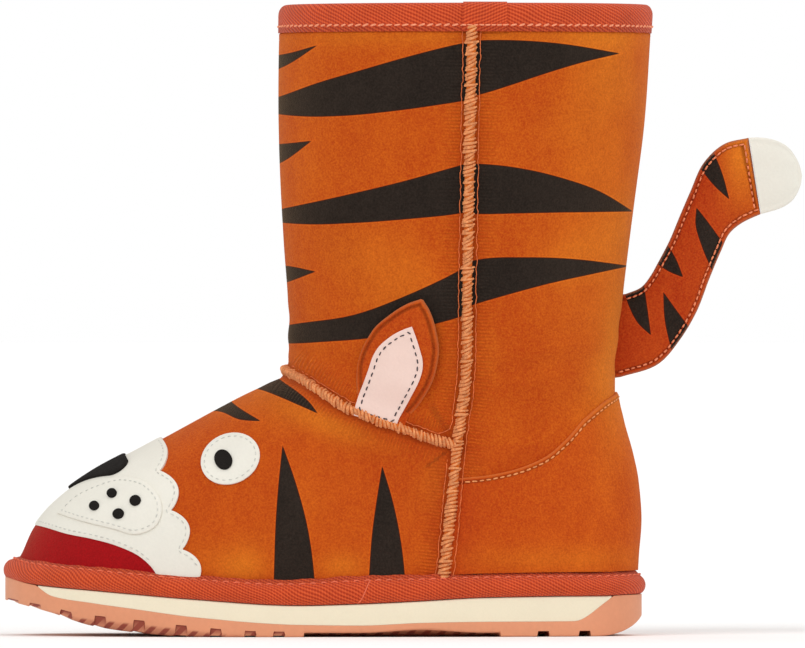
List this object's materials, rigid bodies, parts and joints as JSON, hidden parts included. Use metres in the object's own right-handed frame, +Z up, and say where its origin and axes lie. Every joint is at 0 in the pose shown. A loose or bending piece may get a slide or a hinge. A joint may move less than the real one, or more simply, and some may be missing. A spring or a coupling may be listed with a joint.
{
  "type": "child's pull-on suede boot",
  "caption": "Tall pull-on child's boot for the left foot: hollow fleece-lined suede upper, tape-bound edges, ears, striped tail and a lugged rubber sole.",
  "frame": {"origin": "on the floor under the middle of the whole boot's box, tail included", "axes": "+Z up, -Y towards the toe, +Y towards the heel and tail, +X towards the outer side of the left foot"},
  "size_m": [0.0884, 0.2493, 0.1964],
  "materials": {
    "suede": "napped suede, matt",
    "binding_tape": "woven twill tape",
    "outsole_rubber": "moulded, satin",
    "midsole_foam": "moulded foam, matt",
    "fleece": "deep fleece pile",
    "tip_leather": "smooth pale leather"
  },
  "bodies": {
    "root": {"outsole": "outsole_rubber", "midsole": "midsole_foam", "insole": "fleece", "upper": "suede", "foot_binding": "binding_tape", "collar_binding": "binding_tape", "heel_counter": "suede", "ear_lateral": "suede", "ear_medial": "suede", "tail": "suede", "tail_tip": "tip_leather"}
  },
  "joints": []
}
